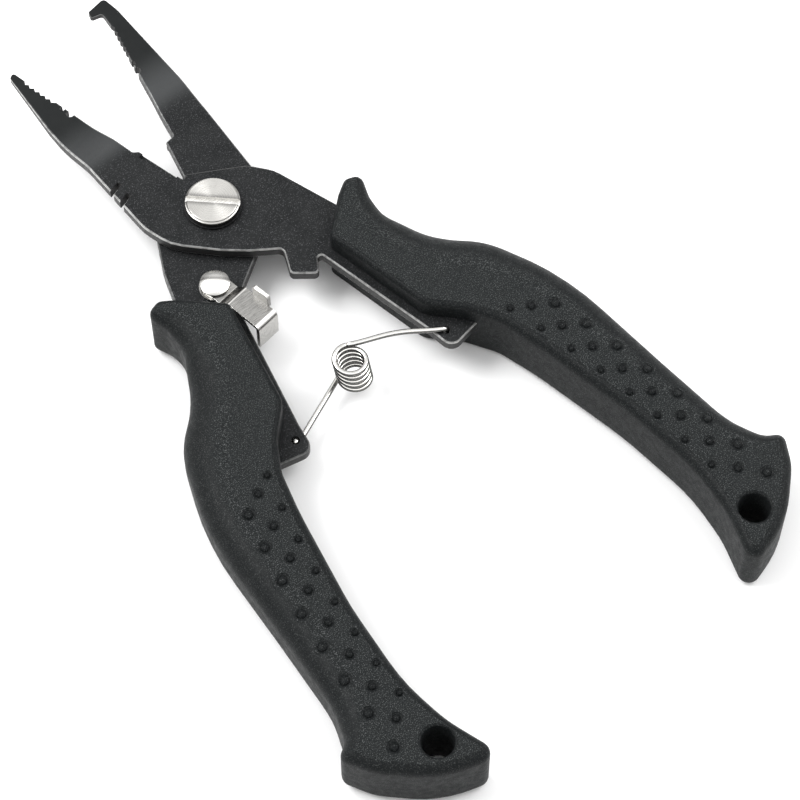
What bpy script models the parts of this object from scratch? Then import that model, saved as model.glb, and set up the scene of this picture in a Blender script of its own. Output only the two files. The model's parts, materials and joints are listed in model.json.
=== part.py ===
"""Split-ring fishing pliers, open, lying on the undersides of their grips. Metres, +Z up.

The two levers cross at the pivot. Drawing points are in millimetres from the pivot's axis, X towards the
front lever's grip and Y towards the jaws, and are kept as (x, y, corner radius).
"""

import math

import bmesh
import bpy
from mathutils import Matrix, Vector

MM = 0.001
SHORTEST_EDGE = 0.15  # points of an outline closer than this are one

# Layout
PIVOT_Y = 34.0  # the pivot's place along Y, which centres the object's box on the origin

# Plates: two stampings either side of the mating plane, with jaws stepped onto that plane
MATING_Z = 7.0
PLATE_GAP = 0.2
PLATE_THICKNESS = 2.4
PLATE_EDGE = 0.3
JAW_STEP = 1.3
JAW_STEP_START = 24.0
JAW_STEP_END = 32.0
JAW_THINNING = 0.022  # share of its thickness that the jaw loses, from below, for each millimetre past the step
FRONT_Z = MATING_Z + PLATE_GAP / 2
BACK_Z = MATING_Z - PLATE_GAP / 2 - PLATE_THICKNESS
FRONT_TOP = FRONT_Z + PLATE_THICKNESS
BACK_TOP = BACK_Z + PLATE_THICKNESS

# Jaws: directions of the gripping edges either side of +Y, and the teeth along them
FRONT_JAW_ANGLE = 13.8
BACK_JAW_ANGLE = -11.8
TOOTH_PITCH = 1.4
TOOTH_DEPTH = 0.45
TOOTH_START = 40.6
TOOTH_COUNT = 6
NOTCHES = ((38.6, 0.55), (36.6, 0.85))  # crimping notches: distance from the pivot, radius
SLOTS = (14.4, 11.2)  # line slots in the front jaw's outer edge: distance along Y
SLOT_EDGE_X = -13.6
SLOT_SLANT = 20.0
SLOT_WIDTH = 1.1
SLOT_DEPTH = 2.6
CUTTER_BEVEL = 0.9
CUTTER_LAND = 1.5  # thickness left flat at the cutting edge
FRONT_CUTTER = ((-3.55, 18.15), (-1.35, 9.75))
BACK_CUTTER = ((0.7, 11.4), (2.2, 18.4))

# Pivot
SHANK_RADIUS = 3.0
PIVOT_HOLE_RADIUS = 3.2
HEAD_RADIUS = 5.35
HEAD_HEIGHT = 1.4
HEAD_BEVEL = 0.4
HEAD_SLOT_WIDTH = 1.25
HEAD_SLOT_DEPTH = 0.8
HEAD_SLOT_ANGLE = -43.0
PIVOT_WASHER_RADIUS = 5.65
PIVOT_WASHER_THICKNESS = 0.3
NUT_ACROSS_FLATS = 9.0
NUT_HEIGHT = 2.2
NUT_EDGE = 0.3
THREAD_END = 0.4  # how far the screw's end sits inside the nut
THREAD_RADIUS = 2.5
CLEARANCE = 0.12

# Grips
GRIP_HEIGHT = 14.0
GRIP_POCKET_GAP = 0.3
LANYARD_HOLE = (36.4, -114.8)
LANYARD_RADIUS = 2.9
LANYARD_CHAMFER = 0.7

# Return spring: a torsion coil whose legs hook into the lever lugs
WIRE_RADIUS = 0.475
COIL_RADIUS = 2.95
COIL_CENTRE = (0.0, -43.8)
COIL_TURNS = 5
COIL_STEPS = 20  # points in each turn
COIL_SPLIT = 4.0  # turns that belong to the upper piece
ANCHOR = (17.9, -49.65)
ANCHOR_HOLE_RADIUS = 0.85
SPRING_TOP = FRONT_TOP + WIRE_RADIUS + 0.15
SPRING_BOTTOM = BACK_Z - WIRE_RADIUS - 0.15
HOOK_RADIUS = 0.9

# Latch
RIVET = (-9.9, -13.9)
RIVET_SHANK_RADIUS = 1.3
RIVET_HEAD_RADIUS = 2.72
RIVET_HEAD_HEIGHT = 1.25
RIVET_TAIL_RADIUS = 2.2
RIVET_TAIL_HEIGHT = 0.9
LATCH_WASHER_RADIUS = 3.1
LATCH_WASHER_THICKNESS = 0.3
LATCH_ANGLE = -80.7
LATCH_WIDTH = 5.0
LATCH_THICKNESS = 0.8
LATCH_LOW = 7.45  # underside of the riveted end
LATCH_HIGH = 9.8  # underside of the raised bridge
LATCH_LIP = 4.0  # lowest point of the lip
LATCH_STEP = (3.9, 6.2)
LATCH_BRIDGE_END = 12.7
LATCH_LIP_REACH = 1.5
LATCH_BEND = 1.1
THUMB_TAB = (7.8, 11.9)
THUMB_TAB_TOP = 13.2

STEEL_DARK = ("dark_steel", (0.05, 0.052, 0.054, 1), 0.5, 0.85)
STEEL_BRIGHT = ("bright_steel", (0.62, 0.61, 0.58, 1), 0.28, 1.0)
WASHER_BLACK = ("black_oxide", (0.012, 0.012, 0.013, 1), 0.45, 0.6)
GRIP_BLACK = ("grip_elastomer", (0.022, 0.025, 0.026, 1), 0.62, 0.0)

FRONT_OUTLINE = (
    (-0.95, 8.35, 0.3), (-3.85, 19.05, 0.5), (-4.9, 19.7, 0.5), (-7.9, 33.0, 40), (-12.1, 50.8, 0.6),
    (-13.4, 49.9, 0.8), (-14.6, 33.0, 25), (-13.8, 22.0, 25), (-13.5, 4.0, 10), (-11.7, -2.1, 10),
    (-3.0, -11.1, 25), (4.7, -16.2, 1.2), (2.4, -21.5, 1.0), (6.8, -24.9, 1.0), (9.4, -20.6, 0.7),
)
FRONT_CROWN = ((19.0, -14.9, 3), (14.2, -0.7, 7), (10.7, 3.5, 6), (0.0, 9.2, 0.5))
BACK_OUTLINE = (
    (4.4, 19.4, 0.5), (6.75, 32.3, 60), (9.85, 47.4, 0.6), (10.25, 51.6, 0.7), (7.8, 52.1, 0.5),
    (8.3, 53.7, 0.6), (12.7, 54.6, 0.8), (13.3, 50.5, 8), (13.3, 40.0, 40), (13.4, 22.0, 40),
    (12.2, 3.0, 8), (7.5, -7.5, 8), (0.2, -13.1, 8), (-5.6, -17.0, 5), (-9.5, -22.2, 4),
)
BACK_ROOT = (
    (-18.9, -14.9, 3), (-15.7, -5.0, 12), (-12.2, 2.0, 8), (-8.0, 7.8, 3), (0.2, 9.6, 1.0), (2.4, 19.1, 0.4),
)
# The tang inside a grip, from its inner edge round the spring lug to its outer edge, for the front lever
TANG = (
    (15.4, -47.5, 4), (16.3, -53.4, 2.2), (23.6, -51.9, 0.8), (30.4, -66.0, 15), (33.6, -80.5, 1.5),
    (37.3, -79.5, 1.5), (36.4, -62.0, 10), (31.5, -46.0, 12), (24.5, -33.0, 12), (20.8, -24.0, 8),
)
# The front grip from its nose round its outer edge and tail, then up its inner edge. A fourth number is the
# radius of the rim there.
GRIP_OUTLINE = (
    (11.9, -21.7, 1.5, 1.2), (19.5, -14.7, 2.0, 1.6), (23.0, -12.3, 1.2, 2.0), (25.4, -13.1, 1.4, 2.2),
    (24.4, -18.2, 6, 3.4), (23.9, -22.9, 9, 4.8), (29.4, -33.2, 16, 6.2), (36.2, -39.3, 10, 6.2),
    (42.7, -56.4, 40, 4.6), (44.2, -79.5, 80, 4.2), (45.7, -97.2, 14, 4.0), (48.5, -104.2, 4, 3.4),
    (51.6, -106.2, 3.6, 2.8), (48.2, -112.1, 12, 2.2), (39.8, -120.0, 30, 1.9), (29.6, -122.9, 1.7, 1.5),
    (32.0, -112.1, 25, 2.0), (33.3, -101.7, 40, 2.3), (31.7, -84.8, 60, 2.3), (28.0, -65.0, 60, 2.2),
    (25.6, -56.0, 8, 1.8), (22.2, -50.2, 3, 1.3), (16.6, -44.4, 4, 1.2),
)


def corner_points(corners, step=15):
    """(corner's index, point) round a closed outline through corners of (x, y, radius), rounded by arcs."""
    points = []
    count = len(corners)
    for index, (x, y, radius, *_) in enumerate(corners):
        corner = Vector((x, y))
        before = Vector(corners[index - 1][:2]) - corner
        after = Vector(corners[(index + 1) % count][:2]) - corner
        half = before.angle(after) / 2
        reach = min(radius / math.tan(half), 0.48 * before.length, 0.48 * after.length)
        fitted = reach * math.tan(half)
        bisector = (before.normalized() + after.normalized()).normalized()
        centre = corner + bisector * fitted / math.sin(half)
        first = corner + before.normalized() * reach - centre
        last = corner + after.normalized() * reach - centre
        turn = math.atan2(first.cross(last), first.dot(last))
        pieces = max(1, math.ceil(abs(math.degrees(turn)) / step))
        for k in range(pieces + 1):
            point = centre + Matrix.Rotation(turn * k / pieces, 2) @ first
            if not points or (point - points[-1][1]).length > SHORTEST_EDGE:
                points.append((index, point))
    return points


def filleted(corners, step=15):
    return [point for _, point in corner_points(corners, step)]


def mirrored(corners):
    return [(-x, *rest) for x, *rest in reversed(corners)]


def outward(points):
    """The outward direction at each point of an outline that runs anticlockwise."""
    directions = []
    for index in range(len(points)):
        along = points[(index + 1) % len(points)] - points[index - 1]
        directions.append(Vector((along.y, -along.x)).normalized())
    return directions


def grown(points, distance):
    """The outline moved outwards by distance; its points run anticlockwise."""
    return [point + direction * distance for point, direction in zip(points, outward(points))]


def radial(angle, distance, side=0.0):
    """A point at distance from the pivot on a line angle degrees left of +Y, and side further left of it."""
    turn = math.radians(angle)
    return Vector((
        -math.sin(turn) * distance - math.cos(turn) * side,
        math.cos(turn) * distance - math.sin(turn) * side,
    ))


def stacked(rings):
    """A bmesh through matching anticlockwise rings of points in millimetres, from the bottom up."""
    mesh = bmesh.new()
    levels = [[mesh.verts.new(point) for point in ring] for ring in rings]
    mesh.faces.new(reversed(levels[0]))
    mesh.faces.new(levels[-1])
    count = len(rings[0])
    for ring, above in zip(levels, levels[1:]):
        for index in range(count):
            after = (index + 1) % count
            mesh.faces.new((ring[index], ring[after], above[after], above[index]))
    return mesh


def prism(points, low, high):
    return stacked([[(*point, height) for point in points] for height in (low, high)])


def rounded_prism(points, low, high, radii, steps=2):
    """A prism whose end faces have rounded rims, with the rim's radius at each point of its outline."""
    directions = outward(points)
    lower = []
    for k in range(steps + 1):
        turn = math.pi / 2 * k / steps
        ring = []
        for point, direction, radius in zip(points, directions, radii):
            place = point - direction * radius * (1 - math.sin(turn))
            ring.append((*place, low + radius * (1 - math.cos(turn))))
        lower.append(ring)
    upper = [[(x, y, low + high - height) for x, y, height in ring] for ring in reversed(lower)]
    return stacked([*lower, *upper])


def lofted(first, last):
    """A bmesh between two matching rings of points in millimetres."""
    mesh = bmesh.new()
    ends = [[mesh.verts.new(point) for point in ring] for ring in (first, last)]
    count = len(first)
    for k in range(count):
        after = (k + 1) % count
        mesh.faces.new((ends[0][k], ends[0][after], ends[1][after], ends[1][k]))
    mesh.faces.new(ends[0])
    mesh.faces.new(ends[1])
    bmesh.ops.recalc_face_normals(mesh, faces=mesh.faces)
    return mesh


def turned(profile, steps=32):
    """A closed ring or disc from a profile of (radius, height), turned about the Z axis."""
    mesh = bmesh.new()
    rings = []
    for radius, height in profile:
        if radius < 1e-6:
            rings.append([mesh.verts.new((0, 0, height))])
            continue
        spokes = [Matrix.Rotation(math.tau * k / steps, 2) @ Vector((radius, 0)) for k in range(steps)]
        rings.append([mesh.verts.new((*spoke, height)) for spoke in spokes])
    pairs = list(zip(rings, rings[1:]))
    if profile[0][0] > 1e-6:
        pairs.append((rings[-1], rings[0]))
    for ring, other in pairs:
        for k in range(steps):
            after = (k + 1) % steps
            near = (ring[k % len(ring)], ring[after % len(ring)])
            far = (other[after % len(other)], other[k % len(other)])
            face = list(dict.fromkeys((*near, *far)))
            if len(face) > 2:
                mesh.faces.new(face)
    bmesh.ops.recalc_face_normals(mesh, faces=mesh.faces)
    return mesh


def material(finish):
    name, colour, roughness, metallic = finish
    if name in bpy.data.materials:
        return bpy.data.materials[name]
    made = bpy.data.materials.new(name)
    made.use_nodes = True
    shader = made.node_tree.nodes["Principled BSDF"]
    shader.inputs["Base Color"].default_value = colour
    shader.inputs["Roughness"].default_value = roughness
    shader.inputs["Metallic"].default_value = metallic
    return made


def add_object(name, mesh, finish, parent, place=(0.0, 0.0), smooth_angle=35):
    """Makes an object from a bmesh in millimetres about the pivot, with its own origin at place."""
    data = bpy.data.meshes.new(name)
    mesh.transform(Matrix.Scale(MM, 4) @ Matrix.Translation((-place[0], -place[1], 0)))
    bmesh.ops.recalc_face_normals(mesh, faces=mesh.faces)
    mesh.to_mesh(data)
    mesh.free()
    data.shade_smooth()
    data.set_sharp_from_angle(angle=math.radians(smooth_angle))
    data.materials.append(material(finish))
    made = bpy.data.objects.new(name, data)
    bpy.context.scene.collection.objects.link(made)
    made.parent = parent
    made.location = (place[0] * MM, place[1] * MM, 0)
    return made


def add_guide(name, mesh, parent, place=(0.0, 0.0)):
    guide = add_object(name, mesh, STEEL_DARK, parent, place)
    guide.hide_render = True
    guide.display_type = "WIRE"
    return guide


def combine(target, guide, operation):
    step = target.modifiers.new(guide.name, "BOOLEAN")
    step.operation = operation
    step.object = guide


def add_cutter(name, mesh, target):
    """Cuts a bmesh in millimetres about the pivot out of the target, and leaves it as a hidden guide."""
    origin = target.location.xy / MM
    combine(target, add_guide(name, mesh, target.parent, origin), "DIFFERENCE")


def add_joint_frame(name, place, parent):
    frame = bpy.data.objects.new(name, None)
    bpy.context.scene.collection.objects.link(frame)
    frame.parent = parent
    frame.location = (place[0] * MM, place[1] * MM, 0)
    return frame


def drill(mesh_place, radius, low=-1.0, high=GRIP_HEIGHT + 1, steps=24):
    mesh = turned(((0, low), (radius, low), (radius, high), (0, high)), steps)
    mesh.transform(Matrix.Translation((*mesh_place, 0)))
    return mesh


def step_jaw(mesh, angle, lift, top):
    """Steps the jaw by lift between two lines square to its gripping edge, and thins it from there to its tip."""
    rows = 6
    for row in range(rows + 1):
        distance = JAW_STEP_START + (JAW_STEP_END - JAW_STEP_START) * row / rows
        bmesh.ops.bisect_plane(
            mesh, geom=mesh.verts[:] + mesh.edges[:] + mesh.faces[:], dist=1e-4,
            plane_co=(*radial(angle, distance), 0), plane_no=(*radial(angle, 1), 0),
        )
    direction = radial(angle, 1)
    for vert in mesh.verts:
        distance = vert.co.xy.dot(direction)
        share = (distance - JAW_STEP_START) / (JAW_STEP_END - JAW_STEP_START)
        share = min(max(share, 0), 1)
        thinning = JAW_THINNING * max(distance - JAW_STEP_END, 0)
        vert.co.z += lift * share * share * (3 - 2 * share) + (top - vert.co.z) * thinning


def teeth_and_notches(angle, side):
    """Outlines that cut a jaw's teeth and its crimping notches; side is +1 where the jaw lies to the left."""
    outside = -1.5 * side
    tip = -0.05 * side
    comb = [radial(angle, TOOTH_START, outside)]
    for tooth in range(TOOTH_COUNT):
        start = TOOTH_START + TOOTH_PITCH * tooth
        comb.append(radial(angle, start, tip))
        comb.append(radial(angle, start + TOOTH_PITCH / 2, TOOTH_DEPTH * side))
    end = TOOTH_START + TOOTH_PITCH * TOOTH_COUNT
    comb.append(radial(angle, end, tip))
    comb.append(radial(angle, end, outside))
    outlines = [comb]
    steps = 12
    turns = [Matrix.Rotation(math.tau * k / steps, 2) for k in range(steps)]
    for distance, radius in NOTCHES:
        centre = radial(angle, distance, 0.1 * side)
        outlines.append([centre + turn @ Vector((radius, 0)) for turn in turns])
    return outlines


def anticlockwise(points):
    area = sum(a[0] * b[1] - b[0] * a[1] for a, b in zip(points, points[1:] + points[:1]))
    return points if area > 0 else points[::-1]


def cut_jaw(plate, angle, side):
    for index, outline in enumerate(teeth_and_notches(angle, side)):
        mesh = prism(anticlockwise(outline), MATING_Z - 4, MATING_Z + 4)
        add_cutter(f"{plate.name}_jaw_cut_{index}", mesh, plate)


def cutter_bevel(plate, edge, low, high):
    """Grinds a bevel along a cutting edge given by its two ends, from height low at the edge to high."""
    start, end = (Vector(point) for point in edge)
    along = (end - start).normalized()
    out = Vector((along.y, -along.x))
    clear = high + (high - low) / 2
    margin = 1.2
    section = ((margin, low), (margin, clear), (-CUTTER_BEVEL, clear), (-CUTTER_BEVEL, high), (0.05, low))
    rings = [
        [(*(point + out * across), height) for across, height in section]
        for point in (start - along * 0.1, end + along * 0.1)
    ]
    add_cutter(f"{plate.name}_cutter_bevel", lofted(*rings), plate)


def lever_plate(name, corners, low, jaw_angle, lift, parent):
    outline = anticlockwise(filleted(corners))
    mesh = rounded_prism(outline, low, low + PLATE_THICKNESS, [PLATE_EDGE] * len(outline))
    step_jaw(mesh, jaw_angle, lift, low + PLATE_THICKNESS)
    plate = add_object(name, mesh, STEEL_DARK, parent)
    add_cutter(f"{name}_pivot_hole", drill((0, 0), PIVOT_HOLE_RADIUS), plate)
    return plate


def front_lever_plate(parent):
    corners = [*FRONT_OUTLINE, *TANG, *FRONT_CROWN]
    plate = lever_plate("front_lever_plate", corners, FRONT_Z, FRONT_JAW_ANGLE, -JAW_STEP, parent)
    add_cutter("front_spring_hole", drill(ANCHOR, ANCHOR_HOLE_RADIUS, steps=16), plate)
    cut_jaw(plate, FRONT_JAW_ANGLE, 1)
    cutter_bevel(plate, FRONT_CUTTER, FRONT_Z + CUTTER_LAND, FRONT_TOP)
    turn = Matrix.Rotation(math.radians(SLOT_SLANT), 2)
    half = SLOT_WIDTH / 2
    for index, height in enumerate(SLOTS):
        corners = ((-1.2, -half), (SLOT_DEPTH, -half), (SLOT_DEPTH, half), (-1.2, half))
        outline = [Vector((SLOT_EDGE_X, height)) + turn @ Vector(corner) for corner in corners]
        add_cutter(f"line_slot_{index}", prism(outline, FRONT_Z - 1, FRONT_TOP + 1), plate)


def back_lever_plate(parent):
    corners = [*BACK_ROOT[-1:], *BACK_OUTLINE, *mirrored(TANG)[::-1], *BACK_ROOT[:-1]]
    plate = lever_plate("back_lever_plate", corners, BACK_Z, BACK_JAW_ANGLE, JAW_STEP, parent)
    mirror_anchor = (-ANCHOR[0], ANCHOR[1])
    add_cutter("back_spring_hole", drill(mirror_anchor, ANCHOR_HOLE_RADIUS, steps=16), plate)
    add_cutter("rivet_hole", drill(RIVET, RIVET_SHANK_RADIUS + CLEARANCE, steps=20), plate)
    cut_jaw(plate, BACK_JAW_ANGLE, -1)
    cutter_bevel(plate, BACK_CUTTER, BACK_TOP - CUTTER_LAND, BACK_Z)


def grip(name, side, plate_z, parent):
    """A moulded grip with a pocket for the lever's tang; side is +1 for the front lever."""
    corners = GRIP_OUTLINE[::-1] if side > 0 else mirrored(GRIP_OUTLINE)[::-1]
    pairs = corner_points(corners, 10)
    radii = [corners[index][3] for index, _ in pairs]
    mesh = rounded_prism([point for _, point in pairs], 0, GRIP_HEIGHT, radii, 4)
    made = add_object(name, mesh, GRIP_BLACK, parent)
    tang = [(9.0, -19.5, 0.5), *TANG, (19.2, -14.9, 1), (17.6, -8.0, 0.5)]
    tang = tang if side > 0 else mirrored(tang)
    pocket = grown(anticlockwise(filleted(tang)), GRIP_POCKET_GAP)
    low = plate_z - GRIP_POCKET_GAP
    high = plate_z + PLATE_THICKNESS + GRIP_POCKET_GAP
    add_cutter(f"{name}_pocket", prism(pocket, low, high), made)
    wide = LANYARD_RADIUS + LANYARD_CHAMFER
    profile = (
        (0, -1), (wide + 1, -1), (LANYARD_RADIUS, LANYARD_CHAMFER),
        (LANYARD_RADIUS, GRIP_HEIGHT - LANYARD_CHAMFER), (wide + 1, GRIP_HEIGHT + 1), (0, GRIP_HEIGHT + 1),
    )
    hole = turned(profile, 28)
    hole.transform(Matrix.Translation((LANYARD_HOLE[0] * side, LANYARD_HOLE[1], 0)))
    add_cutter(f"{name}_lanyard_hole", hole, made)


def pivot_parts(parent):
    washer_low = FRONT_TOP + CLEARANCE
    washer_high = washer_low + PIVOT_WASHER_THICKNESS
    head_low = washer_high + CLEARANCE
    head_high = head_low + HEAD_HEIGHT
    ring = (
        (PIVOT_HOLE_RADIUS, washer_low), (PIVOT_WASHER_RADIUS, washer_low),
        (PIVOT_WASHER_RADIUS, washer_high), (PIVOT_HOLE_RADIUS, washer_high),
    )
    add_object("pivot_washer", turned(ring, 40), WASHER_BLACK, parent)
    nut_high = BACK_Z - CLEARANCE
    nut_low = nut_high - NUT_HEIGHT
    profile = (
        (0, nut_low + THREAD_END), (THREAD_RADIUS, nut_low + THREAD_END), (THREAD_RADIUS, nut_high + 0.3),
        (SHANK_RADIUS, nut_high + 0.6), (SHANK_RADIUS, head_low), (HEAD_RADIUS - 0.1, head_low),
        (HEAD_RADIUS, head_low + 0.1), (HEAD_RADIUS, head_high - HEAD_BEVEL),
        (HEAD_RADIUS - HEAD_BEVEL * 0.35, head_high - HEAD_BEVEL * 0.25),
        (HEAD_RADIUS - HEAD_BEVEL, head_high), (0, head_high),
    )
    screw = add_object("pivot_screw", turned(profile, 48), STEEL_BRIGHT, parent)
    half = HEAD_SLOT_WIDTH / 2
    long = HEAD_RADIUS + 1
    turn = Matrix.Rotation(math.radians(HEAD_SLOT_ANGLE), 2)
    outline = [turn @ Vector(c) for c in ((-long, -half), (long, -half), (long, half), (-long, half))]
    add_cutter("screw_slot", prism(outline, head_high - HEAD_SLOT_DEPTH, head_high + 1), screw)
    sides = 6
    corner = NUT_ACROSS_FLATS / 2 / math.cos(math.pi / sides)
    hexagon = [Matrix.Rotation(math.tau * k / sides, 2) @ Vector((corner, 0)) for k in range(sides)]
    block = rounded_prism(hexagon, nut_low, nut_high, [NUT_EDGE] * sides, 1)
    nut = add_object("pivot_nut", block, STEEL_BRIGHT, parent)
    add_cutter("nut_bore", drill((0, 0), THREAD_RADIUS + CLEARANCE), nut)


def latch_strip(parent):
    """The latch: a strip bent up off its washer, across the bridge and down into a lip, with a thumb tab."""
    half = LATCH_WIDTH / 2
    top = LATCH_THICKNESS
    reach = LATCH_BRIDGE_END + LATCH_LIP_REACH
    under = (
        (-half, LATCH_LOW), (LATCH_STEP[0], LATCH_LOW), (LATCH_STEP[1], LATCH_HIGH),
        (LATCH_BRIDGE_END, LATCH_HIGH), (LATCH_BRIDGE_END + 0.45, LATCH_HIGH - 0.35),
        (LATCH_BRIDGE_END + 0.7, LATCH_HIGH - LATCH_BEND), (reach - top, LATCH_LIP),
    )
    over = (
        (reach, LATCH_LIP), (reach, LATCH_HIGH - LATCH_BEND), (LATCH_BRIDGE_END + 1.05, LATCH_HIGH + 0.3),
        (LATCH_BRIDGE_END + 0.15, LATCH_HIGH + top), (LATCH_STEP[1] - 0.35, LATCH_HIGH + top),
        (LATCH_STEP[0] - 0.35, LATCH_LOW + top), (-half, LATCH_LOW + top),
    )
    turn = Matrix.Translation((*RIVET, 0)) @ Matrix.Rotation(math.radians(LATCH_ANGLE), 4, "Z")
    strip = lofted(*([(along, side, height) for along, height in (*under, *over)] for side in (-half, half)))
    strip.transform(turn)
    latch = add_object("latch_lever", strip, STEEL_BRIGHT, parent, RIVET)
    steps = 10
    arc = [Matrix.Rotation(math.pi * k / steps, 2) @ Vector((0, half)) for k in range(steps + 1)]
    beyond = half + 1
    corners = [Vector(c) for c in ((0, -beyond), (-beyond, -beyond), (-beyond, beyond), (0, beyond))]
    rounding = prism(anticlockwise([*arc, *corners]), LATCH_LOW - 1, LATCH_LOW + 2)
    rounding.transform(turn)
    add_cutter("latch_round_end", rounding, latch)
    add_cutter("latch_rivet_hole", drill(RIVET, RIVET_SHANK_RADIUS + CLEARANCE, steps=20), latch)
    start, end = THUMB_TAB
    low = LATCH_HIGH + 0.1
    corner = 0.5
    outline = (
        (start, low), (end, low), (end, THUMB_TAB_TOP - corner), (end - corner, THUMB_TAB_TOP),
        (start + corner, THUMB_TAB_TOP), (start, THUMB_TAB_TOP - corner),
    )
    sides = (half - 0.2, half + 0.6)
    tab = lofted(*([(along, side, height) for along, height in outline] for side in sides))
    tab.transform(turn)
    combine(latch, add_guide("latch_thumb_tab", tab, parent, RIVET), "UNION")


def latch_fastening(parent):
    """The rivet that holds the latch to the back lever, and the washer under the latch."""
    washer_low = BACK_TOP + 0.15
    washer_high = washer_low + LATCH_WASHER_THICKNESS
    hole = RIVET_SHANK_RADIUS + CLEARANCE
    edge = LATCH_WASHER_RADIUS
    washer = turned(((hole, washer_low), (edge, washer_low), (edge, washer_high), (hole, washer_high)), 28)
    washer.transform(Matrix.Translation((*RIVET, 0)))
    add_object("latch_washer", washer, STEEL_BRIGHT, parent, RIVET)
    head = LATCH_LOW + LATCH_THICKNESS + 0.1
    rim = head + 0.3
    rise = RIVET_HEAD_HEIGHT - 0.3
    tail = BACK_Z - CLEARANCE
    turns = [math.pi / 12 * k for k in range(6)]
    dome = [(RIVET_HEAD_RADIUS * math.cos(turn), rim + rise * math.sin(turn)) for turn in turns]
    profile = (
        (0, tail - RIVET_TAIL_HEIGHT), (RIVET_TAIL_RADIUS - 0.4, tail - RIVET_TAIL_HEIGHT),
        (RIVET_TAIL_RADIUS, tail - 0.5), (RIVET_TAIL_RADIUS, tail), (RIVET_SHANK_RADIUS, tail),
        (RIVET_SHANK_RADIUS, head), (RIVET_HEAD_RADIUS, head), *dome, (0, head + RIVET_HEAD_HEIGHT),
    )
    rivet = turned(profile, 28)
    rivet.transform(Matrix.Translation((*RIVET, 0)))
    add_object("latch_rivet", rivet, STEEL_BRIGHT, parent, RIVET)


def wire(name, points, parent, place):
    """A round wire through points in millimetres about the pivot."""
    curve = bpy.data.curves.new(name, "CURVE")
    curve.dimensions = "3D"
    curve.bevel_depth = WIRE_RADIUS * MM
    curve.bevel_resolution = 2
    curve.use_fill_caps = True
    spline = curve.splines.new("POLY")
    spline.points.add(len(points) - 1)
    for target, (x, y, z) in zip(spline.points, points):
        target.co = ((x - place[0]) * MM, (y - place[1]) * MM, z * MM, 1)
    curve.materials.append(material(STEEL_BRIGHT))
    made = bpy.data.objects.new(name, curve)
    bpy.context.scene.collection.objects.link(made)
    made.parent = parent
    made.location = (place[0] * MM, place[1] * MM, 0)


def coil_angles():
    """Where the upper leg meets the coil and the lower leg leaves it, in radians anticlockwise from +X."""
    dx = ANCHOR[0] - COIL_CENTRE[0]
    dy = ANCHOR[1] - COIL_CENTRE[1]
    start = math.atan2(dy, dx) + math.acos(COIL_RADIUS / math.hypot(dx, dy))
    return start, math.pi - start + math.tau * COIL_TURNS


def coil_point(share):
    start, end = coil_angles()
    angle = start + (end - start) * share
    return (
        COIL_CENTRE[0] + COIL_RADIUS * math.cos(angle),
        COIL_CENTRE[1] + COIL_RADIUS * math.sin(angle),
        SPRING_TOP + (SPRING_BOTTOM - SPRING_TOP) * share,
    )


def leg(anchor, meeting, height, bend, end_height):
    """A leg from its end in the lug's hole, round a bend and along to where it meets the coil."""
    start = Vector((*anchor, height))
    along = Vector((meeting[0], meeting[1], height)) - start
    direction = along.normalized()
    points = [(*anchor, end_height)]
    steps = 4
    for k in range(steps + 1):
        turn = math.pi / 2 * k / steps
        drop = Vector((0, 0, HOOK_RADIUS * (1 - math.sin(turn)) * bend))
        points.append(start + direction * HOOK_RADIUS * (1 - math.cos(turn)) + drop)
    points.extend(start + along * share for share in (0.35, 0.65, 0.92))
    return points


def return_spring(parent):
    total = round(COIL_STEPS * (COIL_TURNS + 0.15))
    split = round(COIL_STEPS * COIL_SPLIT)
    coil = [coil_point(k / total) for k in range(total + 1)]
    upper = leg(ANCHOR, coil[0], SPRING_TOP, -1, BACK_TOP + 0.6)
    wire("return_spring", [*upper, *coil[: split + 1]], parent, ANCHOR)
    lower = leg((-ANCHOR[0], ANCHOR[1]), coil[-1], SPRING_BOTTOM, 1, BACK_TOP - 0.3)
    wire("return_spring_lower_leg", [*lower, *reversed(coil[split + 1:])], parent, COIL_CENTRE)


def build():
    front = add_joint_frame("front_lever_frame", (0, PIVOT_Y), None)
    back = add_joint_frame("back_lever_frame", (0, 0), front)
    front_lever_plate(front)
    back_lever_plate(back)
    grip("front_grip", 1, FRONT_Z, front)
    grip("back_grip", -1, BACK_Z, back)
    pivot_parts(front)
    return_spring(front)
    latch_strip(back)
    latch_fastening(back)


for old in list(bpy.data.objects):
    bpy.data.objects.remove(old)
build()
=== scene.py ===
"""The looks of the fishing pliers: open, lying on the undersides of their grips.

Drawing points are in millimetres from the handle pivot, with X towards the front grip and Y towards the jaws.
Heights are in millimetres from the floor.
"""

import json
import math

import bmesh
import bpy
import numpy as np
from mathutils import Matrix, Vector
from mathutils.geometry import delaunay_2d_cdt


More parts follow.
